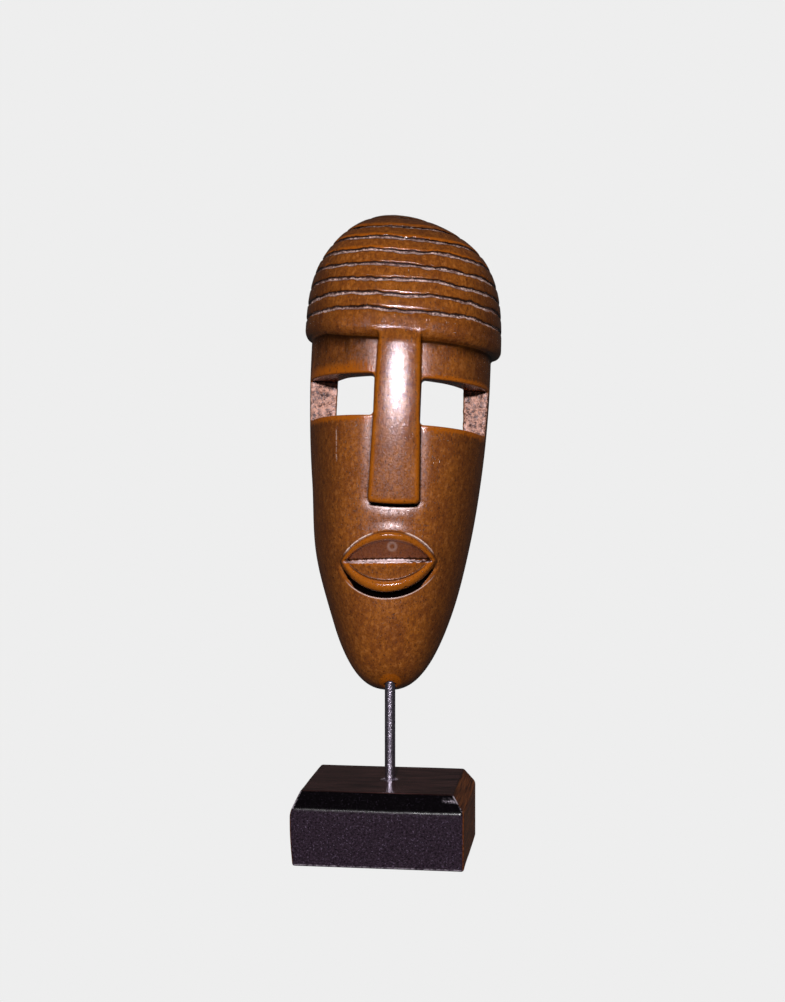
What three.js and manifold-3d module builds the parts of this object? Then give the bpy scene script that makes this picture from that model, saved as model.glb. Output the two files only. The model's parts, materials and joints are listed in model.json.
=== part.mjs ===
// A carved wooden mask that stands on a steel post in a black wooden block.
// Three pieces: base_block, post and mask. Millimetres, +Z up, the front faces -Y.
// The origin is the centre of the block's underside.
//
// The mask is drawn upright in its own frame and then leant, rolled and turned onto the post.
// In that frame X is to the viewer's right, Y runs to the back and Z up the face, and the
// origin is where the post's axis meets the chin.

import * as THREE from 'three';
import { ParametricGeometry } from 'three/addons/geometries/ParametricGeometry.js';
import { mergeVertices } from 'three/addons/utils/BufferGeometryUtils.js';
import Module from 'manifold-3d';

const wasm = await Module();
wasm.setup();

// Block
const BLOCK = { width: 79, depth: 68, height: 34, corner: 2 };
const CHAMFER = { inset: 5.4, height: 7.5 };

// Post, and the blind holes that it stands in
const POST = { x: 1.5, diameter: 5, chamfer: 0.6 };
const HOLE_GAP = 0.3;
const BLOCK_HOLE_DEPTH = 24;
const CHIN_HEIGHT = 77;
const CHIN_HOLE_DEPTH = 28;

// How the mask sits on the post, in degrees
const LEAN_BACK = 8;
const ROLL_RIGHT = 2.1;
const TURN_LEFT = 5.5;

// Mask: the flat back, and the outline of the face from the chin's tip to its widest
const BACK = 10;
const FACE = { halfWidth: 43.5, depth: 48, middle: -1.3, tip: -0.7, rise: 147.3, top: 172 };
const FACE_CURVE = { along: 1.7, across: 2.385 };
const SECTION_POWER = 2.4;

// Ribbed cap: a dome with a rounded lower edge, tilted a little across the face
const CAP = { halfWidth: 47.65, depth: 53.5, bottom: 163, spring: 155.8, crown: 230.2, edge: 4.5 };
const CAP_CURVE = { along: 3.78, across: 1.49 };
const CAP_TILT = -0.037;
const CROWN_SHIFT = { start: 195, reach: 32, left: 4 };
const GROOVES = { first: 173.6, pitch: 7.3, count: 8, last: 228.4, halfWidth: 0.8, depth: 0.021 };

// Hollow behind the face, open at the back
const HOLLOW = { halfWidth: 32, depth: 39.5, middle: -0.7, bottom: 42, top: 211, power: 2.5 };

// Nose bar, from the cap's lower edge to its tip
const NOSE = { middle: -0.9, topHalf: 9.6, tipHalf: 11.8, tip: 85.5, tipBow: 1.6, flare: 3.5 };
const NOSE_FACE = { front: -44.5, back: -20, bevel: 1.6 };

// Eye openings: cut from the side of the nose right out through the side of the face
const LEFT_EYE = { inner: -12, low: 125.6, high: 144.7, slope: 0 };
const RIGHT_EYE = { inner: 9.7, low: 121.8, high: 143.2, slope: -0.02 };
const EYE_FLOOR = -6;

// Lips: an almond between two arcs, raised from the face, and the line of the mouth
const LIPS = { middle: -1.9, height: 59.3, halfLength: 21.5, upper: 13, lower: 14.7, proud: 7.5, back: -10 };
const MOUTH = { halfHeight: 1, depth: 3 };

// Fineness of the forms
const AROUND = 40;
const ROUND_SIDES = 24;
const FACE_RINGS = 18;
const EDGE_STEPS = 3;
const HOLLOW_RINGS = 14;

// A distance well outside the mask
const OUTSIDE = 90;

function clamp01(value) {
  return Math.min(1, Math.max(0, value));
}

// Solid made from a closed geometry: shared corners are merged and flat slivers at the poles dropped
function toSolid(geometry) {
  const bare = geometry.clone();
  bare.deleteAttribute('normal');
  bare.deleteAttribute('uv');
  const merged = mergeVertices(bare, 1e-3);
  const corners = merged.index.array;
  const triangles = [];
  for (let i = 0; i < corners.length; i += 3) {
    const [a, b, c] = [corners[i], corners[i + 1], corners[i + 2]];
    if (a !== b && b !== c && c !== a) {
      triangles.push(a, b, c);
    }
  }
  return new wasm.Manifold(new wasm.Mesh({
    numProp: 3,
    vertProperties: Float32Array.from(merged.attributes.position.array),
    triVerts: Uint32Array.from(triangles),
  }));
}

function toGeometry(solid) {
  const { vertProperties, triVerts } = solid.getMesh();
  const geometry = new THREE.BufferGeometry();
  geometry.setAttribute('position', new THREE.BufferAttribute(Float32Array.from(vertProperties), 3));
  geometry.setIndex(Array.from(triVerts));
  geometry.computeVertexNormals();
  return geometry;
}

function piece(name, solid, colour, roughness, metalness) {
  const material = new THREE.MeshStandardMaterial({ color: colour, roughness, metalness });
  const mesh = new THREE.Mesh(toGeometry(solid), material);
  mesh.name = name;
  return mesh;
}

function box(low, high) {
  const size = high.map((value, axis) => value - low[axis]);
  const centre = high.map((value, axis) => (value + low[axis]) / 2);
  return toSolid(new THREE.BoxGeometry(...size).translate(...centre));
}

// Solid of a front outline, x across and z up, running back from one depth to another
function frontExtrusion(outline, front, back, bevel = 0) {
  const geometry = new THREE.ExtrudeGeometry(outline, {
    depth: back - front - bevel,
    curveSegments: 12,
    bevelEnabled: bevel > 0,
    bevelSize: bevel,
    bevelOffset: -bevel,
    bevelThickness: bevel,
    bevelSegments: 2,
  });
  return toSolid(geometry.rotateX(Math.PI / 2).translate(0, back, 0));
}

// Half-round section with a flat back: a superellipse from the back plane to the front
function sectionPoint(angle, halfWidth, depth, back, target) {
  const bend = 2 / SECTION_POWER;
  const across = Math.cos(angle);
  const forward = Math.max(0, Math.sin(angle));
  target.x = halfWidth * Math.sign(across) * Math.abs(across) ** bend;
  target.y = back - depth * forward ** bend;
}

// Closed form wrapped round the mask's long axis, one section for each ring, shut at both ends
function wrap(rings, placePoint) {
  const last = rings.length - 1;
  const geometry = new ParametricGeometry((u, v, target) => {
    placePoint((1 - u) * 2 * Math.PI, rings[Math.round(v * last)], target);
  }, AROUND, last);
  return toSolid(geometry);
}

// The face's size at a height, as a fraction of its full width and depth
function faceScale(height) {
  const t = clamp01((height - FACE.tip) / FACE.rise);
  return (1 - (1 - t) ** FACE_CURVE.along) ** (1 / FACE_CURVE.across);
}

function capScale(height) {
  const t = clamp01((height - CAP.spring) / (CAP.crown - CAP.spring));
  return (1 - t ** CAP_CURVE.along) ** (1 / CAP_CURVE.across);
}

// Face without its features, grown outwards all round by some millimetres
function faceForm(grow) {
  const rings = [];
  for (let i = 0; i <= FACE_RINGS; i += 1) {
    const height = FACE.tip + FACE.rise * (i / FACE_RINGS) ** 2;
    const scale = faceScale(height);
    rings.push({ height: height - grow * (1 - i / FACE_RINGS), scale, grow: scale === 0 ? 0 : grow });
  }
  rings.push({ height: FACE.top, scale: 1, grow });
  rings.push({ height: FACE.top, scale: 0, grow: 0 });
  return wrap(rings, (angle, ring, target) => {
    const halfWidth = FACE.halfWidth * ring.scale + ring.grow;
    sectionPoint(angle, halfWidth, FACE.depth * ring.scale + ring.grow, BACK, target);
    target.x += FACE.middle;
    target.z = ring.height;
  });
}

// Evenly spaced grooves, and one more close round the crown
function grooveHeights() {
  const heights = Array.from({ length: GROOVES.count }, (_, i) => GROOVES.first + i * GROOVES.pitch);
  return [...heights, GROOVES.last];
}

// The cap's rings: flat underside, rounded lower edge, then the dome with a notch for each groove
function capRings() {
  const rings = [{ height: CAP.bottom, scale: 0 }];
  const inset = CAP.edge / CAP.halfWidth;
  for (let i = 0; i <= EDGE_STEPS; i += 1) {
    const turn = (i / EDGE_STEPS) * Math.PI / 2;
    const height = CAP.bottom + CAP.edge * (1 - Math.cos(turn));
    rings.push({ height, scale: capScale(height) - inset * (1 - Math.sin(turn)) });
  }
  for (const middle of grooveHeights()) {
    const low = middle - GROOVES.halfWidth;
    const high = middle + GROOVES.halfWidth;
    rings.push({ height: low, scale: capScale(low) });
    rings.push({ height: middle, scale: capScale(middle) - GROOVES.depth });
    rings.push({ height: high, scale: capScale(high) });
  }
  rings.push({ height: CAP.crown, scale: 0 });
  return rings;
}

function capForm() {
  return wrap(capRings(), (angle, ring, target) => {
    sectionPoint(angle, CAP.halfWidth * ring.scale, CAP.depth * ring.scale, BACK, target);
    const shift = CROWN_SHIFT.left * (Math.max(0, ring.height - CROWN_SHIFT.start) / CROWN_SHIFT.reach) ** 2;
    target.x += FACE.middle - shift;
    target.z = ring.height + target.x * CAP_TILT;
  });
}

function hollowForm() {
  const rings = [];
  const beyond = 2;
  const back = BACK + beyond;
  const depth = HOLLOW.depth + beyond;
  for (let i = 0; i <= HOLLOW_RINGS; i += 1) {
    const along = -Math.cos(Math.PI * i / HOLLOW_RINGS);
    const scale = (1 - Math.abs(along) ** HOLLOW.power) ** (1 / HOLLOW.power);
    const height = HOLLOW.bottom + (HOLLOW.top - HOLLOW.bottom) * (1 + along) / 2;
    rings.push({ height, scale });
  }
  return wrap(rings, (angle, ring, target) => {
    sectionPoint(angle, HOLLOW.halfWidth * ring.scale, depth * ring.scale, back, target);
    target.x += HOLLOW.middle;
    target.z = ring.height;
  });
}

// The bar widens to its tip, and flares where it runs into the cap
function noseForm() {
  const { middle, topHalf, tipHalf, tip, tipBow, flare } = NOSE;
  const root = CAP.bottom + 1;
  const end = CAP.bottom + CAP.edge;
  const outline = new THREE.Shape();
  outline.moveTo(middle - tipHalf, tip);
  outline.quadraticCurveTo(middle, tip - tipBow, middle + tipHalf, tip);
  outline.lineTo(middle + topHalf, root - flare);
  outline.quadraticCurveTo(middle + topHalf, root, middle + topHalf + flare, root);
  outline.lineTo(middle + topHalf + flare, end);
  outline.lineTo(middle - topHalf - flare, end);
  outline.lineTo(middle - topHalf - flare, root);
  outline.quadraticCurveTo(middle - topHalf, root, middle - topHalf, root - flare);
  outline.closePath();
  return frontExtrusion(outline, NOSE_FACE.front, NOSE_FACE.back, NOSE_FACE.bevel);
}

// One eye's cut: from beside the nose outwards, and back to the eye floor in the side wall
function eyeCut(eye, side) {
  const outer = side * OUTSIDE;
  const drop = (outer - eye.inner) * eye.slope;
  const outline = new THREE.Shape([
    new THREE.Vector2(eye.inner, eye.low),
    new THREE.Vector2(outer, eye.low + drop),
    new THREE.Vector2(outer, eye.high + drop),
    new THREE.Vector2(eye.inner, eye.high),
  ]);
  return frontExtrusion(outline, -OUTSIDE, EYE_FLOOR);
}

// Arc from one corner of the mouth to the other, rising to one side of the line between them
function lipArc(outline, rise, side) {
  const radius = (LIPS.halfLength ** 2 + rise ** 2) / (2 * rise);
  const reach = Math.asin(LIPS.halfLength / radius);
  const middle = side * Math.PI / 2;
  outline.absarc(LIPS.middle, LIPS.height + side * (rise - radius), radius, middle - reach, middle + reach);
}

function lipsForm() {
  const outline = new THREE.Shape();
  lipArc(outline, LIPS.upper, 1);
  lipArc(outline, LIPS.lower, -1);
  const mouthLine = box(
    [LIPS.middle - LIPS.halfLength, -OUTSIDE, LIPS.height - MOUTH.halfHeight],
    [LIPS.middle + LIPS.halfLength, 0, LIPS.height + MOUTH.halfHeight],
  );
  const proud = frontExtrusion(outline, -OUTSIDE, LIPS.back).intersect(faceForm(LIPS.proud));
  return proud.subtract(mouthLine.subtract(faceForm(LIPS.proud - MOUTH.depth)));
}

// Upright hole round the post's axis
function postHole(low, high) {
  const radius = POST.diameter / 2 + HOLE_GAP;
  return new THREE.CylinderGeometry(radius, radius, high - low, ROUND_SIDES)
    .rotateX(Math.PI / 2)
    .translate(POST.x, 0, (low + high) / 2);
}

function maskPiece() {
  const placed = new THREE.Object3D();
  placed.position.set(POST.x, 0, CHIN_HEIGHT);
  placed.rotation.set(
    THREE.MathUtils.degToRad(-LEAN_BACK),
    THREE.MathUtils.degToRad(ROLL_RIGHT),
    THREE.MathUtils.degToRad(TURN_LEFT),
    'ZYX',
  );
  placed.updateMatrix();

  // The hole stands upright, whatever the lean of the mask
  const chinHole = postHole(BLOCK.height, CHIN_HEIGHT + CHIN_HOLE_DEPTH);
  chinHole.applyMatrix4(placed.matrix.clone().invert());
  const wood = faceForm(0).add(capForm()).add(noseForm()).add(lipsForm());
  const solid = wood
    .subtract(hollowForm())
    .subtract(eyeCut(LEFT_EYE, -1))
    .subtract(eyeCut(RIGHT_EYE, 1))
    .subtract(toSolid(chinHole));
  const mask = piece('mask', solid, 0x96551a, 0.4, 0);
  mask.position.copy(placed.position);
  mask.rotation.copy(placed.rotation);
  return mask;
}

// Round steel rod with a small chamfer at each end
function postPiece() {
  const radius = POST.diameter / 2;
  const low = BLOCK.height - BLOCK_HOLE_DEPTH + HOLE_GAP;
  const high = CHIN_HEIGHT + CHIN_HOLE_DEPTH - HOLE_GAP;
  const profile = [
    new THREE.Vector2(0, low),
    new THREE.Vector2(radius - POST.chamfer, low),
    new THREE.Vector2(radius, low + POST.chamfer),
    new THREE.Vector2(radius, high - POST.chamfer),
    new THREE.Vector2(radius - POST.chamfer, high),
    new THREE.Vector2(0, high),
  ];
  const geometry = new THREE.LatheGeometry(profile, ROUND_SIDES).rotateX(Math.PI / 2);
  return piece('post', toSolid(geometry.translate(POST.x, 0, 0)), 0xb8b8bc, 0.3, 1);
}

function roundedRectangle(width, depth, corner) {
  const [x, y] = [width / 2 - corner, depth / 2 - corner];
  const outline = new THREE.Shape();
  outline.absarc(x, y, corner, 0, Math.PI / 2);
  outline.absarc(-x, y, corner, Math.PI / 2, Math.PI);
  outline.absarc(-x, -y, corner, Math.PI, Math.PI * 1.5);
  outline.absarc(x, -y, corner, Math.PI * 1.5, Math.PI * 2);
  return outline;
}

// Block with a chamfered top and a blind hole for the post
function blockPiece() {
  const [halfWidth, halfDepth] = [BLOCK.width / 2, BLOCK.depth / 2];
  const wall = BLOCK.height - CHAMFER.height;
  const square = new THREE.Shape([
    new THREE.Vector2(-halfWidth, -halfDepth),
    new THREE.Vector2(halfWidth, -halfDepth),
    new THREE.Vector2(halfWidth, halfDepth),
    new THREE.Vector2(-halfWidth, halfDepth),
  ]);
  const chamfered = new THREE.ExtrudeGeometry(square, {
    depth: 2 * wall,
    bevelSize: CHAMFER.inset,
    bevelOffset: -CHAMFER.inset,
    bevelThickness: CHAMFER.height,
    bevelSegments: 1,
  }).translate(0, 0, -wall);
  const rounded = new THREE.ExtrudeGeometry(roundedRectangle(BLOCK.width, BLOCK.depth, BLOCK.corner), {
    depth: BLOCK.height,
    curveSegments: 4,
    bevelEnabled: false,
  });
  const hole = postHole(BLOCK.height - BLOCK_HOLE_DEPTH, BLOCK.height + CHAMFER.height);
  const solid = toSolid(chamfered).intersect(toSolid(rounded)).subtract(toSolid(hole));
  return piece('base_block', solid, 0x1c1518, 0.35, 0);
}

const object = new THREE.Group();
object.add(blockPiece(), postPiece(), maskPiece());
export default object;
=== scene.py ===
"""Looks of the carved wooden mask: wood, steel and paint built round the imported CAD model.

The mask and the block are drawn as signed fields in millimetres, negative inside. Each field is
meshed on a fine grid, and every vertex is then moved onto the exact surface.
"""
import json
import math

import bmesh
import bpy
import numpy as np
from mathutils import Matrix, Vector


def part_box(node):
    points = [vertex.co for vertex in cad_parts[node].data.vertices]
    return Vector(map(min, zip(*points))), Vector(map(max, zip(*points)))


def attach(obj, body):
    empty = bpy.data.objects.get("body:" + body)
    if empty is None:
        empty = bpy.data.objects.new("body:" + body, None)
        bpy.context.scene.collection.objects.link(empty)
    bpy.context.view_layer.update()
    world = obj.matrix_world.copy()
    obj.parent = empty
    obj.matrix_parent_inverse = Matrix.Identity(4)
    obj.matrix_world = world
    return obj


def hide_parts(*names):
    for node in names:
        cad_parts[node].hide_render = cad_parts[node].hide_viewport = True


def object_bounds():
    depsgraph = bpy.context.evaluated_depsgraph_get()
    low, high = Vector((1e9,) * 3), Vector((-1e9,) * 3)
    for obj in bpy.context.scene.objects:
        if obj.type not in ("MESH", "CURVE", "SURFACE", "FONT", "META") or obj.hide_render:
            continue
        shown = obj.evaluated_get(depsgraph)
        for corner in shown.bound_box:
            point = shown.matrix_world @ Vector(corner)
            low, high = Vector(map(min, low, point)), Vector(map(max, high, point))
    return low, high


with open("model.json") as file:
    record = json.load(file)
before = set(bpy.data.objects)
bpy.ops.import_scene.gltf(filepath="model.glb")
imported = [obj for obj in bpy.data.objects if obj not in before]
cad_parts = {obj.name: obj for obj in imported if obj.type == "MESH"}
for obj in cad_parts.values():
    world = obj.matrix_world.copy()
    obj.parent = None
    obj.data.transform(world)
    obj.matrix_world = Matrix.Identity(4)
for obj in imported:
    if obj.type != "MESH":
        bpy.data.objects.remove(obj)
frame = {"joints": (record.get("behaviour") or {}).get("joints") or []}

import openvdb
from mathutils import Euler, Matrix, Vector

CAD_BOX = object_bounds()
MM = 0.001
TINY = 1e-6
NEARLY = 5e-4

# Camera: where it stands, seen from the object's origin, and the lens
CAMERA = {"azimuth": 7.66, "distance": 0.7753, "height": 0.2065, "pitch": 2.98, "lens": 59.28,
          "shift": 0.0056, "clip_start": 0.01}

# Light: one small key beside the camera, weak fills from the other sides, and a dim room
KEY = {"azimuth": 3, "elevation": 17, "strength": 3.6, "angle": 3.5}
FILLS = [
    {"name": "fill_left", "azimuth": -105, "elevation": 25, "power": 1.6},
    {"name": "fill_right", "azimuth": 110, "elevation": 25, "power": 1.6},
    {"name": "fill_back_left", "azimuth": -140, "elevation": 20, "power": 6.0},
    {"name": "fill_back_right", "azimuth": 140, "elevation": 20, "power": 6.0},
]
FILL_DISTANCE = 1.6
FILL_SIZE = 0.6
ROOM_GLOW = 0.035
PALE = 0.855
STUDIO = {"radius": 6.0, "sides": 64, "rings": 16, "middle": 0.01}

# How the mask sits on the post, in degrees
LEAN_BACK = 8
ROLL_RIGHT = 2.1
TURN_LEFT = 5.5

# Mask, in its own frame: x to the viewer's right, y to the back, height up the face from the chin
MASK_LOW = (-51, -48, -3)
MASK_HIGH = (51, 13, 233)
BACK = 10
SECTION_POWER = 2.4
FACE = {"half_width": 43.5, "depth": 48, "middle": -1.3, "tip": -0.7, "rise": 147.3, "top": 172}
FACE_CURVE = {"along": 1.7, "across": 2.385}
FACE_POWER = {"chin": 2.05, "brow": 2.5, "low": 50, "high": 130}
JOWL = {"height": 64, "reach": 34, "proud": 1.6, "inner": 8, "outer": 30}
CAP = {"half_width": 47.65, "depth": 53.5, "middle": -0.7, "bottom": 163, "spring": 155.8,
       "crown": 230.2, "edge": 2.8}
CAP_LEAN = {"start": 160, "reach": 30, "back": 3.6}
CAP_CURVE = {"along": 3.78, "across": 1.49}
CAP_TILT = -0.037
CAP_UNDERSIDE = {"slope": 0.42, "reach": 6.5, "fillet": 0.9}
CAP_CORNER = {"start": 24, "end": 46, "lift": 2.6}
CROWN_SHIFT = {"start": 206, "reach": 22, "left": 4.8}
GROOVES = {"first": 173.6, "pitch": 7.3, "count": 8, "last": 228.4, "half_width": 1.05, "depth": 1.2,
           "reach": 1.15, "roundness": 0.03, "fade": 6}
GROOVE_THINNING = {"from": 203, "share": 0.55}
GROOVE_BAND = {"below": 3, "deep": 4}
RIB_LIP = {"share": 0.3, "depth": 0.65}
HOLLOW = {"half_width": 32, "depth": 39.5, "middle": -0.7, "bottom": 42, "top": 211, "power": 2.5,
          "beyond": 2}
NOSE = {"middle": -0.9, "top_half": 9.6, "tip_half": 11.8, "tip": 85.5, "bow": 0.8, "root": 164,
        "flare": 3.5, "foot": 0.4}
NOSE_FACE = {"front": -44.7, "back": -20, "crown": 1.3, "edge": 1.6, "corner": 2.2, "top": 170,
             "beyond": 1.2}
NOSE_DIP = {"depth": 0.95, "reach": 6, "fade": 118, "end": 138, "weaker": 0.7}
NOSE_PROFILE = {"peak": 143, "reach": 60, "tip_drop": 5.6, "root_drop": 1.7, "root": (158, 169)}
LEFT_EYE = {"inner": -12, "low": 125.6, "high": 144.7, "slope": 0, "side": -1}
RIGHT_EYE = {"inner": 9.7, "low": 121.8, "high": 143.2, "slope": -0.02, "side": 1}
EYE = {"floor": -6, "corner": 1.8, "edge": 0.9, "chips": 0.9, "near_floor": 3, "near_outline": 2}
LIPS = {"middle": -2.5, "height": 59.3, "half_length": 22.1, "upper": 13, "lower": 14.7, "tilt": 0.05}
LIP_RIM = {"base": 5.9, "crown": 1.9, "upper_half": 2.1, "lower_half": 2.7, "wall": 0.7, "change": 3,
           "roundness": 1.2, "planes_start": 1.6, "planes_end": 2.3}
LIP_CORNER = {"thinner": 0.6, "lower": 3.8, "beyond": 1.1}
LIP_SCOOP = {"reach": 6.0, "proud": 1.2}
LIP_CUT = {"reach": 2.6, "start": 0.4, "depth": 1.3, "shallower": 0.7}
MOUTH = {"lower": 6.3, "ledge": 3.4, "ledge_low": -1.3, "ledge_high": 0.4, "lower_slant": 0.2,
         "upper_slant": 0.26}
RIM_EDGE = 1.3
POST_HOLE = {"gap": 0.15, "depth": 28, "flare": 0.3, "flare_depth": 0.6, "surface": 2.5}

# Unevenness left by hand: the size of its grains along x, y and z, how far it reaches, and its seed.
# For a groove, the groove's number stands in for z.
GROOVE_WANDER = (
    {"size": (14, 14, 1), "reach": 0.7, "seed": 10},
    {"size": (3.1, 3.1, 1), "reach": 0.3, "seed": 11},
    {"size": (1.1, 1.1, 1), "reach": 0.18, "seed": 12},
)
GROOVE_WIDTH = {"size": (3.5, 3.5, 1), "reach": 0.35, "seed": 13}
GOUGES = {"size": (5, 5, 17), "reach": 0.45, "seed": 90}
COARSE_CHIPS = {"size": (2.3, 2.3, 1.9), "reach": 0.65, "seed": 91}
FINE_CHIPS = {"size": (0.9, 0.9, 0.8), "reach": 0.35, "seed": 92}
CARVED_FACE = {"size": (15, 15, 22), "reach": 0.14, "seed": 93}
SAWN_BACK = {"size": (11, 1, 13), "reach": 0.25, "seed": 94}
SANDED_BLOCK = {"size": (19, 19, 19), "reach": 0.22, "seed": 95}

# Grid spacing of the meshed fields in millimetres, the triangles that are kept, and how vertices settle
MASK_CELL = 0.45
MASK_TRIANGLES = 190000
BLOCK_CELL = 0.6
BLOCK_TRIANGLES = 45000
BLOCK_MARGIN = 2
CELLS_IN_BLOCK = 6
POINTS_AT_ONCE = 400000
BAND_CELLS = 3
NEAR_SPANS = 1.5
SETTLING = {"rounds": 3, "share": 0.4, "flattest": 0.2}
GRADIENT_STEP = 0.05

# Block and post
CHAMFER = {"inset": 5.4, "left_inset": 3.2, "height": 7.5}
LEFT_BULGE = {"proud": 1.1, "height": 0.6}
BLOCK_EDGE = {"rounding": 0.6, "corner": 1.6, "wall_share": 0.4, "top_share": 0.25}
SCUFF = {"x": 33, "front": -29, "z": 31.5, "half_length": 3.2, "half_width": 0.5, "inner": 0.5,
         "outer": 1.2}
FOOT_RING = {"width": 1.1, "blur": 0.5}
POST_END = {"chamfer": 0.6, "inner": 0.2, "outer": 0.6}
POST_SIDES = 64
POST_STEPS = 40

# Marks kept at the vertices: a band has a middle, half its width and the blur beyond it, and a pair
# of numbers is where a mark starts and where it is full
GROOVE_FLOOR = {"middle": -0.1, "half_width": 0.5, "blur": 0.3}
# The grooves' upper walls, near black in the material: painted shade
GROOVE_WALL_SHADE = {"middle": 0.75, "half_width": 0.2, "blur": 0.3}
GROOVE_ENDS = {"back": (1.5, 3), "crown": (2.5, 6)}
IN_HOLLOW = {"middle": 0, "half_width": 0.3, "blur": 0.6}
ON_FACE = {"middle": 0, "half_width": 0.4, "blur": 0.6}
ON_EYE_FLOOR = {"middle": EYE["floor"], "half_width": 1.0, "blur": 0.6}
WITHIN_EYE = (0.1, 0.6)
UNDER_CAP = {"middle": CAP["bottom"] - 1.6, "half_width": 1.4, "blur": 0.8}
UNDER_CAP_SHADE = 0.85
CAP_POLISH = (CAP["bottom"] + 5, CAP["bottom"] + 7)
POLISHED_NOSE = {"outline": 0.5, "front": -36, "low": 90, "high": 125}
# Darkening towards the sides, up on the crown and towards the back: painted shade, partly age
AGE_AND_SHADE = {"sides": (0.4, 0.95), "crown": (0.4, 0.9), "crown_share": 0.7, "back": (-12, 8)}
# The left brow darker: painted shade
LEFT_BROW_SHADE = {"share": 0.7, "across": (8, 13), "height": (142, 146)}
# Sunk corners, which the material darkens: painted shade
MASK_EDGES = {"sunk_reach": 1.6, "raised_reach": 2.4}
BLOCK_EDGES = {"sunk_reach": 1.2, "raised_reach": 1.2}
# Narrow inner corners, near black in the material: painted shade
CREASE_REACH = 0.7

# Marks that the wood's material draws, and the places along y that they are in front of
RING_MARK = {"x": -0.7, "height": 65.6, "radius": 1.7, "blur": 1.0, "strength": 0.45}
SCRATCH = {"x": -28.6, "height": 112, "half_length": 6, "slant": 0.045, "half_width": 0.1, "blur": 0.25,
           "fade": 2}
SMALL_MARKS = 0.4
FRONTS = {"cheeks": -16, "lips": -20, "nose_tip": -30, "nose_face": -38, "nose_low": -40}

# Colours as they look on screen. The ones for the upper lip, sunk corners, creases, shadow, groove walls
# and chamfers are painted shade, the one for age is painted shade and partly age, and the glint, lightest
# ledge and light wall ones are partly painted highlight or sheen
WOOD = {
    "grain_dark": (133, 72, 19), "grain_light": (150, 85, 25), "patch": (110, 56, 20),
    "mottle_dark": (92, 46, 20), "mottle_light": (172, 108, 56), "age_and_shade": (54, 25, 8),
    "raised": (170, 88, 8), "worn": (172, 92, 8), "upper_lip_shade": (98, 54, 40), "sunk_shade": (56, 24, 12),
    "crease_shade": (12, 5, 5), "pore": (40, 17, 8), "scratch_and_glint": (236, 208, 200), "shadow": (6, 2, 2),
    "inside_dark": (74, 42, 22), "inside_light": (126, 80, 44), "gloss": (255, 240, 250),
}
CUT_WOOD = {
    "groove_dark": (56, 30, 27), "groove_light": (250, 214, 206), "groove_patch": (92, 54, 42),
    "groove_wall_shade": (16, 7, 6), "ledge_dark": (70, 38, 34), "ledge_bare_and_lit": (255, 226, 228),
    "ledge_left": (150, 96, 78), "chip_dark": (50, 23, 19), "chip_light": (208, 156, 138),
}
STEEL = {"dark": (176, 164, 184), "light": (226, 214, 232), "pit": (84, 70, 96)}
PAINT = {
    "wall_dark": (10, 6, 10), "wall_light": (54, 41, 53), "chamfer": (5, 3, 5), "top_dark": (12, 3, 4),
    "top_light": (76, 49, 47), "end_dark": (58, 24, 10), "end_light": (136, 76, 38),
    "speck": (118, 102, 126), "edge": (190, 178, 190), "chipped": (206, 192, 206),
}


# ---- Fields -------------------------------------------------------------------------------------

def round_union(a, b, radius):
    """Both solids, with a fillet where they meet."""
    fillet = np.hypot(np.maximum(radius - a, 0), np.maximum(radius - b, 0))
    return np.maximum(radius, np.minimum(a, b)) - fillet


def round_both(a, b, radius):
    """What two solids share, with its edge rounded."""
    edge = np.hypot(np.maximum(radius + a, 0), np.maximum(radius + b, 0))
    return np.minimum(-radius, np.maximum(a, b)) + edge


def smooth_step(value, low, high):
    """0 up to low and 1 from high on, with a smooth rise between."""
    t = np.clip((value - low) / (high - low), 0, 1)
    return t * t * (3 - 2 * t)


def band(value, middle, half_width, blur):
    """1 where the value is within the half width of the middle, fading to 0 over the blur."""
    return smooth_step(-np.abs(value - middle), -half_width - blur, -half_width)


def lattice_noise(x, y, z, seed):
    """Smooth noise from -1 to 1, with one random value for each unit of the lattice."""
    size = 32
    values = np.random.default_rng(seed).uniform(-1, 1, (size, size, size)).astype(np.float32)
    corners = []
    for part in np.broadcast_arrays(x, y, z):
        low = np.floor(part)
        t = (part - low).astype(np.float32)
        corners.append((low.astype(np.int32) % size, t * t * (3 - 2 * t)))
    (i, u), (j, v), (k, w) = corners
    i2, j2, k2 = (i + 1) % size, (j + 1) % size, (k + 1) % size
    levels = []
    for level in (k, k2):
        low_row = values[i, j, level] * (1 - u) + values[i2, j, level] * u
        high_row = values[i, j2, level] * (1 - u) + values[i2, j2, level] * u
        levels.append(low_row * (1 - v) + high_row * v)
    return levels[0] * (1 - w) + levels[1] * w


def unevenness(x, y, z, size, reach, seed):
    """Noise with grains of that size along x, y and z, up to that reach either way."""
    return reach * lattice_noise(x / size[0], y / size[1], z / size[2], seed)


def partly(near, function, *places):
    """A function's values where near is true, and 0 elsewhere."""
    values = np.zeros(near.shape, np.float32)
    values[near] = function(*(place[near] for place in places))
    return values


def section_reach(x, y, half_width, depth, back, power=SECTION_POWER):
    """Size of the half superellipse through a point, as a share of the full one, and its steepness."""
    across = np.abs(x) / half_width
    forward = np.maximum(back - y, 0) / depth
    reach = (across ** power + forward ** power) ** (1 / power) + TINY
    bend = 2 * (power - 1)
    steepness = ((across / reach) ** bend / half_width ** 2 + (forward / reach) ** bend / depth ** 2)
    return reach, steepness


def tapered_section(x, y, half_width, depth, scale, slope, power=SECTION_POWER):
    """Distance to a form with a flat back and half superellipses as sections, scaled along its height."""
    reach, steepness = section_reach(x, y, half_width * scale, depth * scale, BACK, power)
    return (reach - 1) / np.sqrt(steepness + (reach * slope / scale) ** 2)


def with_slope(scale_at, height):
    """A scale and how fast it changes with the height."""
    step = GRADIENT_STEP
    return scale_at(height), (scale_at(height + step) - scale_at(height - step)) / (2 * step)


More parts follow.
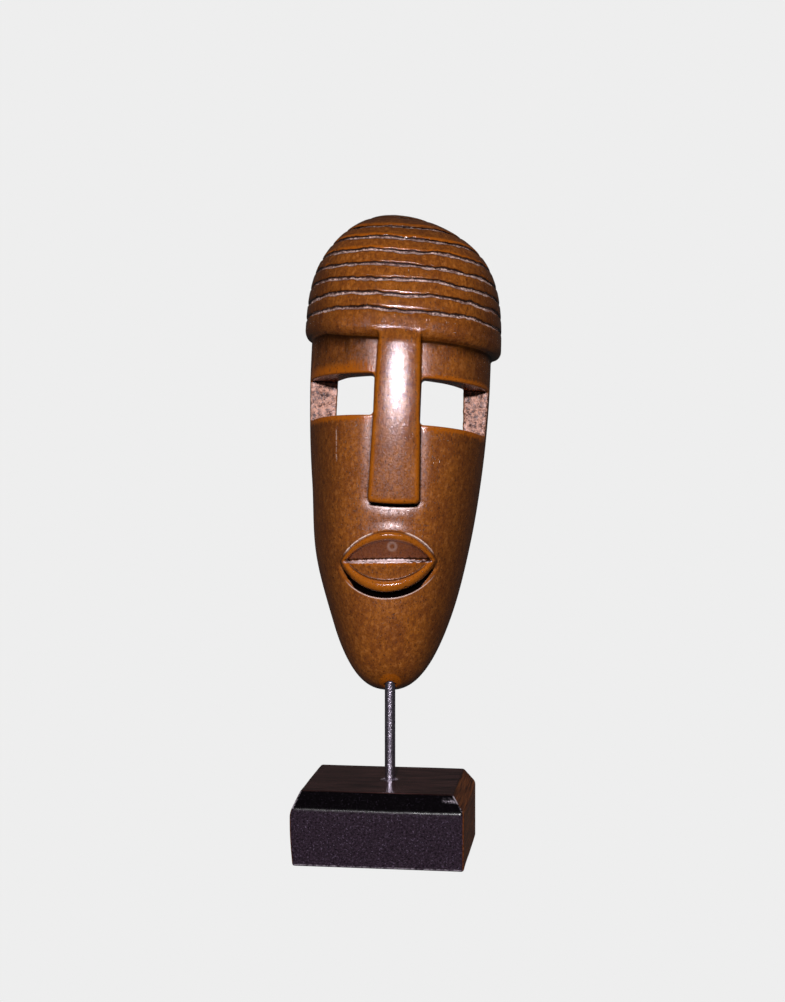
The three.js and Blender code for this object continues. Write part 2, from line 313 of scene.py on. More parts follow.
def face_scale(height):
    """Width of the face's outline, as a share of the widest."""
    t = np.clip((height - FACE["tip"]) / FACE["rise"], NEARLY, 1)
    return (1 - (1 - t) ** FACE_CURVE["along"]) ** (1 / FACE_CURVE["across"])


def cap_scale(height):
    """Width of the cap's outline, as a share of the widest."""
    t = np.clip((height - CAP["spring"]) / (CAP["crown"] - CAP["spring"]), 0, 1 - NEARLY)
    return (1 - t ** CAP_CURVE["along"]) ** (1 / CAP_CURVE["across"])


def face_form(x, y, height):
    """Long oval, rounder towards the chin, with a fuller jowl on the viewer's left."""
    scale, slope = with_slope(face_scale, height)
    heights = [FACE_POWER["low"], FACE_POWER["high"]]
    power = np.interp(height, heights, [FACE_POWER["chin"], FACE_POWER["brow"]])
    side = tapered_section(x - FACE["middle"], y, FACE["half_width"], FACE["depth"], scale, slope, power)
    jowl = smooth_step(-x, JOWL["inner"], JOWL["outer"]) * band(height, JOWL["height"], 0, JOWL["reach"])
    ends = np.maximum(FACE["tip"] - height, height - FACE["top"])
    return np.maximum(side - JOWL["proud"] * jowl, ends)


def lip_arcs():
    """Radius of the upper and the lower lip's outline, and each centre's height above the mouth's line."""
    arcs = []
    for rise, side in ((LIPS["upper"], 1), (LIPS["lower"], -1)):
        radius = (LIPS["half_length"] ** 2 + rise ** 2) / (2 * rise)
        arcs.append((radius, side * (rise - radius)))
    return arcs


def lip_outline(x, height):
    """Distance inwards from the outline of the lips, and the height above the line of the mouth."""
    across = x - LIPS["middle"]
    up = height - LIPS["height"] - LIPS["tilt"] * across
    distances = [radius - np.hypot(across, up - centre) for radius, centre in lip_arcs()]
    return np.minimum(*distances), up


def lip_planes(up):
    """How far the two slanting planes inside the rims stand out, with the ledge between them."""
    lower = MOUTH["lower"] + MOUTH["lower_slant"] * (up - MOUTH["ledge_low"])
    upper = MOUTH["ledge"] + MOUTH["upper_slant"] * np.maximum(up - MOUTH["ledge_high"], 0)
    over_ledge = smooth_step(up, MOUTH["ledge_low"], MOUTH["ledge_high"])
    return lower * (1 - over_ledge) + upper * over_ledge


def lips_proud(x, height):
    """How far the lips stand out of the face: round rims and two slanting planes between them.

    The face is scooped up to the upper lip and cut away under the lower one.
    """
    inwards, up = lip_outline(x, height)
    lower = smooth_step(-up, -LIP_RIM["change"], LIP_RIM["change"])
    to_corner = np.clip(np.abs(x - LIPS["middle"]) / LIPS["half_length"], 0, LIP_CORNER["beyond"]) ** 2
    half = LIP_RIM["upper_half"] * (1 - lower) + LIP_RIM["lower_half"] * lower
    half = (1 - LIP_CORNER["thinner"] * to_corner) * half
    across_rim = np.clip((inwards - half) / (LIP_RIM["roundness"] * half), -1, 1)
    rim = LIP_RIM["base"] + LIP_RIM["crown"] * np.cos(math.pi / 2 * across_rim)
    past_rim = smooth_step(inwards, LIP_RIM["planes_start"] * half, LIP_RIM["planes_end"] * half)
    lips = rim * (1 - past_rim) + lip_planes(up) * past_rim - LIP_CORNER["lower"] * to_corner
    scoop = LIP_SCOOP["proud"] * np.clip(inwards / LIP_SCOOP["reach"] + 1, 0, 1) ** 2 * (1 - lower)
    cut = LIP_CUT["depth"] * smooth_step(inwards, -LIP_CUT["reach"], -LIP_CUT["start"])
    cut = cut * lower * (1 - LIP_CUT["shallower"] * to_corner)
    wall = smooth_step(inwards, -LIP_RIM["wall"], LIP_RIM["wall"])
    return (scoop - cut) * (1 - wall) + lips * wall


def groove_middle(height):
    """Height of the nearest groove, and its number."""
    first, pitch, count = GROOVES["first"], GROOVES["pitch"], GROOVES["count"]
    number = np.clip(np.round((height - first) / pitch), 0, count - 1)
    top_one = height > (first + pitch * (count - 1) + GROOVES["last"]) / 2
    return np.where(top_one, GROOVES["last"], first + pitch * number), np.where(top_one, count, number)


def groove_offset(x, y, height):
    """Distance above the middle of the nearest groove, in half widths. Each groove has its own wander."""
    middle, number = groove_middle(height)
    finer = 1 - GROOVE_THINNING["share"] * smooth_step(height, GROOVE_THINNING["from"], GROOVES["last"])
    wander = sum(unevenness(x, y, number, **part) for part in GROOVE_WANDER)
    width = finer * GROOVES["half_width"] * (1 + unevenness(x, y, number, **GROOVE_WIDTH))
    return (height - middle - finer * wander) / width


def groove_depth(x, y, height):
    """Depth of the hand-cut grooves at a place on the cap."""
    depth = GROOVES["depth"] * np.clip((CAP["crown"] - height) / GROOVES["fade"], 0, 1)
    rounded = np.sqrt(groove_offset(x, y, height) ** 2 + GROOVES["roundness"])
    return depth * np.clip(GROOVES["reach"] - rounded, 0, 1)


def rib_lip(height):
    """Each rib rounds down to the groove below it."""
    along = (height - GROOVES["first"]) / GROOVES["pitch"]
    from_groove = np.maximum(1 - (along - np.floor(along)) / RIB_LIP["share"], 0)
    return RIB_LIP["depth"] * from_groove ** 2 * (along > 0)


def cap_height(x, height):
    """The cap's rings tilt a little across the face."""
    return height - CAP_TILT * x


def cap_form(x, y, height):
    """Domed cap with ribs between its grooves, leaning back, with a slanting underside."""
    level = cap_height(x, height)
    scale, slope = with_slope(cap_scale, level)
    shift = CROWN_SHIFT["left"] * (np.maximum(0, level - CROWN_SHIFT["start"]) / CROWN_SHIFT["reach"]) ** 2
    depth = CAP["depth"] - CAP_LEAN["back"] * np.clip((level - CAP_LEAN["start"]) / CAP_LEAN["reach"], 0, 1)
    side = tapered_section(x - CAP["middle"] + shift, y, CAP["half_width"], depth, scale, slope)
    near = (level > GROOVES["first"] - GROOVE_BAND["below"]) & (np.abs(side) < GROOVE_BAND["deep"])
    carved = side + partly(near, groove_depth, x, y, level) + rib_lip(level)
    drop = CAP_UNDERSIDE["slope"] * np.clip(-side, 0, CAP_UNDERSIDE["reach"])
    lift = CAP_CORNER["lift"] * smooth_step(-x, CAP_CORNER["start"], CAP_CORNER["end"])
    underside = (CAP["bottom"] + lift - drop - level) * math.cos(math.atan(CAP_UNDERSIDE["slope"]))
    return np.maximum(round_both(carved, underside, CAP["edge"]), level - CAP["crown"])


def nose_half(height):
    """Half the nose's width: it widens to the tip and flares into the cap."""
    along = (height - NOSE["tip"]) / (NOSE["root"] - NOSE["tip"])
    t = np.clip((height - NOSE["root"]) / NOSE["flare"] + 1, 0, 1)
    flare = NOSE["flare"] * (1 - np.sqrt(1 - t ** 2))
    return NOSE["tip_half"] + (NOSE["top_half"] - NOSE["tip_half"]) * along + flare


def nose_outline(x, height):
    """Distance to the nose's outline, seen from the front, and the place across the nose, -1 to 1."""
    half = nose_half(height)
    across = np.clip((x - NOSE["middle"]) / half, -NOSE_FACE["beyond"], NOSE_FACE["beyond"])
    tip = NOSE["tip"] - NOSE["bow"] * (1 - across ** 2) - height
    return round_both(np.abs(x - NOSE["middle"]) - half, tip, NOSE_FACE["corner"]), across


def nose_form(x, y, height):
    """Bar with a gently crowned front, bowed along its length."""
    outline, across = nose_outline(x, height)
    from_peak = np.clip((height - NOSE_PROFILE["peak"]) / NOSE_PROFILE["reach"], -1, 1)
    at_root = smooth_step(height, *NOSE_PROFILE["root"])
    set_back = NOSE_PROFILE["tip_drop"] * from_peak ** 2 + NOSE_PROFILE["root_drop"] * at_root
    front = NOSE_FACE["front"] + set_back + NOSE_FACE["crown"] * across ** 2 - y
    bar = round_both(outline, front, NOSE_FACE["edge"])
    return np.maximum(bar, np.maximum(y - NOSE_FACE["back"], height - NOSE_FACE["top"]))


def nose_dip(x, height):
    """How deep the face is cut in round the nose."""
    outline, _ = nose_outline(x, height)
    shallower = NOSE_DIP["weaker"] * smooth_step(height, NOSE_DIP["fade"], NOSE_DIP["end"])
    depth = NOSE_DIP["depth"] * (1 - shallower)
    return depth * np.clip(1 - outline / NOSE_DIP["reach"], 0, 1) ** 2


def hollow_form(x, y, height):
    """Hollow with rounded ends, open at the back, with long gouge marks."""
    beyond, power = HOLLOW["beyond"], HOLLOW["power"]
    reach, steepness = section_reach(x - HOLLOW["middle"], y, HOLLOW["half_width"],
                                     HOLLOW["depth"] + beyond, BACK + beyond)
    half = (HOLLOW["top"] - HOLLOW["bottom"]) / 2
    along = np.abs(height - HOLLOW["bottom"] - half) / half
    whole = (reach ** power + along ** power) ** (1 / power)
    bend = 2 * (power - 1)
    steep = (reach / whole) ** bend * steepness + (along / whole) ** bend / half ** 2
    return (whole - 1) / np.sqrt(steep) + unevenness(x, y, height, **GOUGES)


def eye_outline(eye, x, height):
    """Distance to one eye's cut, seen from the front."""
    low = eye["low"] + eye["slope"] * (x - eye["inner"]) - height
    high = height - eye["high"] - eye["slope"] * (x - eye["inner"])
    inner = eye["side"] * (eye["inner"] - x)
    return round_both(round_both(inner, low, EYE["corner"]), high, EYE["corner"])


def chips(x, y, height):
    """Rough faces left by the chisel."""
    coarse, fine = (unevenness(x, y, height, **part) for part in (COARSE_CHIPS, FINE_CHIPS))
    return EYE["chips"] * (coarse + fine)


def eye_cut(eye, x, y, height):
    """Slot from the front to the eye's floor, which opens into the hollow."""
    outline = eye_outline(eye, x, height)
    near = (np.abs(y - EYE["floor"]) < EYE["near_floor"]) & (outline < EYE["near_outline"])
    return np.maximum(outline, y - EYE["floor"] + partly(near, chips, x, y, height))


def mask_turn():
    """How the mask's own frame is turned in the part's frame."""
    turns = (-LEAN_BACK, ROLL_RIGHT, TURN_LEFT)
    return Euler([math.radians(turn) for turn in turns], "XYZ")


def post_hole(x, y, height):
    """Hole for the post. It stands upright in the part's frame, whatever the mask's lean."""
    upright = mask_turn().to_matrix().transposed() @ Vector((0, 0, 1))
    along = x * upright.x + y * upright.y + height * upright.z
    away = np.sqrt(np.maximum(x ** 2 + y ** 2 + height ** 2 - along ** 2, 0))
    past_surface = (along - POST_HOLE["surface"]) / POST_HOLE["flare_depth"]
    radius = POST_RADIUS + POST_HOLE["gap"] + POST_HOLE["flare"] * np.clip(1 - past_surface, 0, 1)
    return np.maximum(away - radius, along - POST_HOLE["depth"])


def mask_field(x, y, height):
    """The whole mask: face, lips, cap and nose in one piece, hollowed from the back."""
    face = face_form(x, y, height) - lips_proud(x, height) + nose_dip(x, height)
    face = face + unevenness(x, y, height, **CARVED_FACE)
    wood = round_union(face, cap_form(x, y, height), CAP_UNDERSIDE["fillet"])
    wood = round_union(wood, nose_form(x, y, height), NOSE["foot"])
    back = y - BACK + unevenness(x, 0.5, height, **SAWN_BACK)
    wood = round_both(wood, back, RIM_EDGE)
    wood = round_both(wood, -hollow_form(x, y, height), RIM_EDGE)
    for eye in (LEFT_EYE, RIGHT_EYE):
        wood = round_both(wood, -eye_cut(eye, x, y, height), EYE["edge"])
    return np.maximum(wood, -post_hole(x, y, height))


def block_field(x, y, z):
    """Block with a chamfered top, hand sanded, with a blind hole for the post."""
    high = BLOCK_BOX[1] / MM
    uneven = unevenness(x, y, z, **SANDED_BLOCK)
    fullest = LEFT_BULGE["height"] * high.z
    bulge = LEFT_BULGE["proud"] * (1 - ((z - fullest) / fullest) ** 2)
    side = np.maximum(x - high.x, -x - high.x - np.maximum(bulge, 0))
    front = np.abs(y) - high.y
    wall = round_both(side, front, BLOCK_EDGE["corner"]) + BLOCK_EDGE["wall_share"] * uneven
    drop = CHAMFER["height"]
    above = z - high.z + drop
    right_and_front = np.maximum(x - high.x, front) * drop + above * CHAMFER["inset"]
    left = (-x - high.x) * drop + above * CHAMFER["left_inset"]
    chamfer = np.maximum(right_and_front / math.hypot(CHAMFER["inset"], drop),
                         left / math.hypot(CHAMFER["left_inset"], drop))
    block = round_both(wall, chamfer + uneven, BLOCK_EDGE["rounding"])
    block = round_both(block, z - high.z + BLOCK_EDGE["top_share"] * uneven, BLOCK_EDGE["rounding"])
    block = round_both(block, -z, BLOCK_EDGE["rounding"])
    away = np.hypot(x - POST_X, y)
    hole = np.maximum(away - POST_RADIUS - POST_HOLE["gap"], POST_BOTTOM - POST_HOLE["gap"] - z)
    return np.maximum(block, -hole)


# ---- From a field to a mesh ---------------------------------------------------------------------

def put_in_scene(name, data):
    """New object in the scene, with its mesh, light or camera."""
    made = bpy.data.objects.new(name, data)
    bpy.context.scene.collection.objects.link(made)
    return made


def sample(field, low, high, cell):
    """The field on a grid, worked out only in the blocks of cells that the surface may pass."""
    low, high = np.array(low), np.array(high)
    span = CELLS_IN_BLOCK * cell
    far = BAND_CELLS * cell
    counts = np.ceil((high - low) / span).astype(int)
    centres = [low[axis] + span * (np.arange(counts[axis]) + 0.5) for axis in range(3)]
    places = np.stack(np.meshgrid(*centres, indexing="ij"), -1).reshape(-1, 3).astype(np.float32)
    rough = field(*places.T).reshape(counts)
    values = np.where(rough > 0, far, -far).astype(np.float32)
    for axis in range(3):
        values = np.repeat(values, CELLS_IN_BLOCK, axis)
    near = np.argwhere(np.abs(rough) < NEAR_SPANS * span)
    inside = np.indices((CELLS_IN_BLOCK,) * 3).reshape(3, -1).T
    together = POINTS_AT_ONCE // len(inside)
    for start in range(0, len(near), together):
        cells = (near[start:start + together, None] * CELLS_IN_BLOCK + inside).reshape(-1, 3)
        places = (low + cell * cells).astype(np.float32)
        values[tuple(cells.T)] = np.clip(field(*places.T), -far, far)
    return values


def gradient(field, points):
    """How the field changes along x, y and z."""
    parts = []
    for axis in range(3):
        offset = np.zeros(3, np.float32)
        offset[axis] = GRADIENT_STEP
        rise = field(*(points + offset).T) - field(*(points - offset).T)
        parts.append(rise / (2 * GRADIENT_STEP))
    return np.stack(parts, 1)


def normals(field, points):
    """Unit vectors out of the surface."""
    slope = gradient(field, points)
    return slope / (np.sqrt((slope ** 2).sum(1)) + TINY)[:, None]


def onto_surface(field, points, cell):
    """Points moved onto the surface along the field's gradient, by at most a share of a cell."""
    slope = gradient(field, points)
    steep = np.maximum((slope ** 2).sum(1), SETTLING["flattest"])[:, None]
    moved = points.copy()
    for _ in range(SETTLING["rounds"]):
        step = slope * field(*moved.T)[:, None] / steep
        length = np.sqrt((step ** 2).sum(1))[:, None] + TINY
        moved -= step * np.minimum(1, SETTLING["share"] * cell / length)
    return moved


def mesh_field(name, field, low, high, cell, triangles):
    """Object whose mesh is the field's surface, in metres, thinned to about that many triangles."""
    grid = openvdb.FloatGrid(BAND_CELLS * cell)
    grid.copyFromArray(sample(field, low, high, cell))
    points, quads = grid.convertToQuads(0)
    points = onto_surface(field, points.astype(np.float32) * cell + np.array(low, np.float32), cell)
    mesh = bpy.data.meshes.new(name)
    mesh.from_pydata((points * MM).tolist(), [], quads.tolist())
    piece = put_in_scene(name, mesh)
    keep = triangles / (2 * len(quads))
    if keep < 1:
        thin = piece.modifiers.new("thin", "DECIMATE")
        thin.ratio = keep
        bake_modifiers(piece)
    keep_largest_shell(piece)
    for polygon in piece.data.polygons:
        polygon.use_smooth = True
    return piece


def shell_from(start):
    """All the vertices that edges join to one vertex."""
    shell = {start}
    waiting = [start]
    while waiting:
        for edge in waiting.pop().link_edges:
            for vertex in edge.verts:
                if vertex not in shell:
                    shell.add(vertex)
                    waiting.append(vertex)
    return shell


def keep_largest_shell(piece):
    """Drops the crumbs that a cut can leave floating beside the surface."""
    made = bmesh.new()
    made.from_mesh(piece.data)
    shells = []
    seen = set()
    for start in made.verts:
        if start not in seen:
            shells.append(shell_from(start))
            seen |= shells[-1]
    shells.sort(key=len)
    for shell in shells[:-1]:
        bmesh.ops.delete(made, geom=list(shell), context="VERTS")
    made.to_mesh(piece.data)
    made.free()


def bake_modifiers(piece):
    """Gives the piece the mesh that its modifiers make, and removes them."""
    bpy.context.view_layer.update()
    shaped = piece.evaluated_get(bpy.context.evaluated_depsgraph_get())
    mesh = bpy.data.meshes.new_from_object(shaped)
    piece.modifiers.clear()
    piece.data = mesh


def vertex_places(piece):
    """The mesh's vertices, in millimetres."""
    places = np.empty(3 * len(piece.data.vertices), np.float32)
    piece.data.vertices.foreach_get("co", places)
    return places.reshape(-1, 3) / MM


def store(piece, name, values):
    """Keeps a value from 0 to 1 at each vertex, for the material to read."""
    attribute = piece.data.attributes.new(name, "FLOAT", "POINT")
    attribute.data.foreach_set("value", np.clip(values, 0, 1).astype(np.float32))


def store_edges(piece, field, sunk_reach, raised_reach):
    """Marks raised edges, and sunk corners for painted shade, by how the field changes either side of the
    surface.
    """
    places = vertex_places(piece)
    outwards = normals(field, places)
    open_way = field(*(places + sunk_reach * outwards).T) / sunk_reach
    wood_way = -field(*(places - raised_reach * outwards).T) / raised_reach
    store(piece, "sunk_shade", 1 - open_way)
    store(piece, "raised", 1 - wood_way)


def store_creases(piece, field, reach):
    """Marks the narrow inner corners, which the material fills with painted shade."""
    places = vertex_places(piece)
    store(piece, "crease_shade", 1 - field(*(places + reach * normals(field, places)).T) / reach)


# ---- Materials ----------------------------------------------------------------------------------

def srgb(colour):
    """A colour as it looks on screen, 0 to 255, as the linear colour that a shader takes."""
    parts = [part / 255 for part in colour]
    linear = [((part + 0.055) / 1.055) ** 2.4 if part > 0.04045 else part / 12.92 for part in parts]
    return (*linear, 1)


# The mix node has several sockets of each name; these ones take and give colours
MIX_COLOURS = (6, 7)
MIX_RESULT = 2


class Shader:
    """One node material, with short calls for the nodes that it is made of."""

    def __init__(self, name, origin=(0, 0, 0), turn=(0, 0, 0)):
        self.material = bpy.data.materials.new(name)
        self.material.use_nodes = True
        self.tree = self.material.node_tree
        self.surface = self.tree.nodes["Principled BSDF"]
        part_place = self.node("TexCoord", output="Object")
        self.place = self.node("Mapping", {"vector_type": "TEXTURE"}, Vector=part_place,
                               Location=origin, Rotation=turn)

    def put(self, socket, value):
        """Links a socket to a node's output, or sets it to a plain value."""
        if isinstance(value, bpy.types.NodeSocket):
            self.tree.links.new(value, socket)
        else:
            socket.default_value = value

    def node(self, kind, settings=None, output=0, **inputs):
        """One of a new node's outputs."""
        made = self.tree.nodes.new("ShaderNode" + kind)
        for name, value in (settings or {}).items():
            setattr(made, name, value)
        for name, value in inputs.items():
            self.put(made.inputs[name.replace("_", " ")], value)
        return made.outputs[output]

    def noise(self, size, detail=3.0, roughness=0.55, distortion=0.0):
        """Noise whose grains have that size along x, y and z, in millimetres."""
        scale = [1 / (part * MM) for part in size]
        place = self.node("Mapping", Vector=self.place, Scale=scale)
        return self.node("TexNoise", Vector=place, Scale=1.0, Detail=detail, Roughness=roughness,
                         Distortion=distortion)

    def along(self, axis, start=0.0):
        """Place along one axis, from a start, in millimetres."""
        metres = self.node("SeparateXYZ", Vector=self.place, output=axis)
        return self.less(self.every(metres, 1 / MM), start)

    def length(self, a, b):
        """Distance from 0 of the place that two values give."""
        both = self.node("CombineXYZ", X=a, Y=b)
        return self.node("VectorMath", {"operation": "LENGTH"}, output="Value", Vector=both)

    def chain(self, operation, values):
        """One operation over several values in turn."""
        result = values[0]
        for value in values[1:]:
            result = self.math(operation, result, value)
        return result

    def every(self, *values):
        """Product of several masks."""
        return self.chain("MULTIPLY", values)

    def most(self, *values):
        """The largest of several masks."""
        return self.chain("MAXIMUM", values)

    def plus(self, *values):
        return self.chain("ADD", values)

    def less(self, *values):
        return self.chain("SUBTRACT", values)

    def before(self, y, blur=1.0):
        """1 in front of a place, fading to 0 over the blur behind it."""
        return self.spread(self.along("Y"), y, y + blur, 1, 0)

    def line(self, value, half_width, blur):
        """1 where the value is within the half width of 0, fading to 0 over the blur."""
        return self.spread(self.math("ABSOLUTE", value), half_width, half_width + blur, 1, 0)

    def spread(self, value, low, high, bottom=0.0, top=1.0):
        """Stretches low to high over bottom to top, and clips the rest."""
        return self.node("MapRange", Value=value, From_Min=low, From_Max=high, To_Min=bottom, To_Max=top)

    def math(self, operation, a, b=0.0):
        made = self.tree.nodes.new("ShaderNodeMath")
        made.operation = operation
        self.put(made.inputs[0], a)
        self.put(made.inputs[1], b)
        return made.outputs[0]

    def mix(self, factor, a, b):
        """From the colour a to the colour b. A named colour is given as it looks on screen."""
        made = self.tree.nodes.new("ShaderNodeMix")
        made.data_type = "RGBA"
        self.put(made.inputs["Factor"], factor)
        for socket, colour in zip(MIX_COLOURS, (a, b)):
            self.put(made.inputs[socket], srgb(colour) if isinstance(colour, tuple) else colour)
        return made.outputs[MIX_RESULT]

    def layers(self, colour, *layers):
        """A colour with others laid over it in turn, each through its own mask."""
        for mask, over in layers:
            colour = self.mix(mask, colour, over)
        return colour

    def marked(self, name):
        """A value kept at the vertices."""
        return self.node("Attribute", {"attribute_name": name}, output="Fac")

    def bump(self, height, distance, strength=1.0, normal=None):
        """Bump by a height from 0 to 1, over that distance in millimetres."""
        inputs = {"Height": height, "Distance": distance * MM, "Strength": strength}
        if normal is not None:
            inputs["Normal"] = normal
        return self.node("Bump", **inputs)

    def finish(self, **inputs):
        """The material, with its surface's sockets set."""
        for name, value in inputs.items():
            self.put(self.surface.inputs[name.replace("_", " ")], value)
        return self.material


def lip_place(wood):
    """Place across and up from the middle of the mouth, and the distance inside the lips' outline."""
    across = wood.along("X", LIPS["middle"])
    up = wood.less(wood.along("Z", LIPS["height"]), wood.every(across, LIPS["tilt"]))
    distances = []
    for radius, centre in lip_arcs():
        from_centre = wood.length(across, wood.less(up, centre))
        distances.append(wood.less(radius, from_centre))
    return across, up, wood.math("MINIMUM", *distances)


def lip_marks(wood, ragged):
    """Masks that follow the lips: the ledge, bare wood that is partly a painted highlight, the upper plane
    in painted shade, the worn rims, and lines of painted shade and shadow.
    """
    across, up, inwards = lip_place(wood)
    in_front = wood.before(FRONTS["lips"])
    below = wood.spread(up, -4, -1.5, 1, 0)
    beside = wood.math("ABSOLUTE", wood.every(across, 1 / LIPS["half_length"]))
    to_corner = wood.math("POWER", beside, 2)
    thinner = wood.spread(to_corner, 0, 1, 1, 1 - LIP_CORNER["thinner"])

    wandering = wood.plus(up, wood.spread(ragged, 0.35, 0.65, -0.35, 0.35))
    ledge_middle = (MOUTH["ledge_low"] + MOUTH["ledge_high"]) / 2
    from_ledge = wood.less(wandering, ledge_middle)
    to_end = wood.spread(to_corner, 0, 1, 0, 0.6)
    ledge = wood.spread(wood.plus(wood.math("ABSOLUTE", from_ledge), to_end), 0.75, 1.0, 1, 0)
    in_mouth = wood.every(in_front, wood.spread(inwards, 0.8, 1.8))
    # Painted shadow: a dark line over the ledge, under the upper plane's edge
    over_ledge = wood.every(in_mouth, wood.line(wood.less(from_ledge, 1.3), 0.2, 0.3), 0.85)

    upper_rim = wood.every(thinner, 2 * LIP_RIM["upper_half"])
    past_upper_rim = wood.spread(wood.less(inwards, upper_rim), -0.5, 0.1)
    # The upper plane, darker as it faces down: painted shade
    upper_plane_shade = wood.every(in_front, past_upper_rim, wood.spread(up, 0.3, 0.9))
    lower_rim = wood.every(thinner, 2.05 * LIP_RIM["lower_half"])
    rim_width = wood.spread(up, -0.5, 0.5, lower_rim, upper_rim)
    within_rim = wood.spread(wood.less(inwards, rim_width), -0.6, 0, 1, 0)
    rims = wood.every(in_front, wood.spread(inwards, 0, 0.6), within_rim)
    # Painted shade along the seam inside the lower rim, and painted shadow in the cut under the lower lip
    seam = wood.every(in_mouth, below, wood.line(wood.less(inwards, lower_rim), 0.15, 0.45), 0.6)
    taper = wood.spread(up, -12, -4, 1, 3)
    outside = wood.plus(wood.every(inwards, taper), 0.4 * LIP_CUT["reach"])
    under_lip_shadow = wood.every(in_front, below, wood.line(outside, 0.48 * LIP_CUT["reach"], 0.3))
    dark = wood.most(over_ledge, seam, under_lip_shadow)
    return wood.every(ledge, in_mouth), upper_plane_shade, rims, dark


def lip_glints(wood, ragged):
    """Painted glints: thin pale lines round the outside of the lips, where the cut edges catch the light.
    """
    across, up, inwards = lip_place(wood)
    in_front = wood.before(FRONTS["lips"])
    lower = wood.every(wood.line(wood.plus(inwards, LIP_CUT["reach"] + 0.1), 0.05, 0.3),
                       wood.spread(up, -11, -6, 1, 0), wood.spread(ragged, 0.36, 0.46, 0.3, 0.7))
    beside = wood.line(wood.less(wood.math("ABSOLUTE", across), 14), 5, 2)
    upper = wood.every(wood.line(wood.plus(inwards, 0.7), 0.1, 0.35), beside,
                       wood.spread(up, 0.5, 3), wood.spread(ragged, 0.4, 0.5, 0.15, 1))
    return wood.every(in_front, wood.most(lower, upper))


def nose_marks(wood, ragged):
    """The nose's worn edges, and the painted shadow line and the painted glint under its tip."""
    across = wood.along("X", NOSE["middle"])
    height = wood.along("Z")
    half = wood.spread(height, NOSE["tip"], NOSE["root"], NOSE["tip_half"], NOSE["top_half"])
    beside = wood.math("ABSOLUTE", wood.math("DIVIDE", across, half))
    rise = wood.every(wood.less(wood.math("POWER", beside, 2), 1), NOSE["bow"])
    over = wood.less(wood.less(height, NOSE["tip"]), rise)
    on_front = wood.before(FRONTS["nose_face"], 1.5)
    to_edge = wood.most(wood.spread(beside, 0.76, 0.9), wood.spread(over, 1.2, 3, 1, 0))
    edges = wood.every(on_front, to_edge, wood.spread(height, 158, 163, 1, 0), wood.spread(over, -1, 0))
    in_front = wood.before(FRONTS["nose_tip"])
    # Painted shadow: a dark line under the tip
    dark = wood.every(in_front, wood.line(wood.plus(over, 0.45), 0.45, 0.35),
                      wood.spread(beside, 0.9, 1, 1, 0))
    # Painted glint: a pale edge below that line
    pale = wood.every(in_front, wood.line(wood.plus(over, 1.55), 0.1, 0.4),
                      wood.spread(beside, 0.65, 0.95, 1, 0), wood.spread(ragged, 0.4, 0.5, 0.2, 0.9))
    return edges, dark, pale


def small_marks(wood, ragged):
    """A ring pressed into the upper lip's plane, and a scratch down the cheek."""
    in_front = wood.before(FRONTS["cheeks"])
    from_ring = wood.length(wood.along("X", RING_MARK["x"]), wood.along("Z", RING_MARK["height"]))
    ring = wood.line(wood.less(from_ring, RING_MARK["radius"]), 0, RING_MARK["blur"])
    down = wood.along("Z", SCRATCH["height"])
    across = wood.plus(wood.along("X", SCRATCH["x"]), wood.every(down, SCRATCH["slant"]))
    scratch = wood.every(wood.line(across, SCRATCH["half_width"], SCRATCH["blur"]),
                         wood.line(down, SCRATCH["half_length"], SCRATCH["fade"]),
                         wood.spread(ragged, 0.42, 0.52))
    return wood.every(wood.most(wood.every(ring, RING_MARK["strength"]), scratch), in_front, SMALL_MARKS)


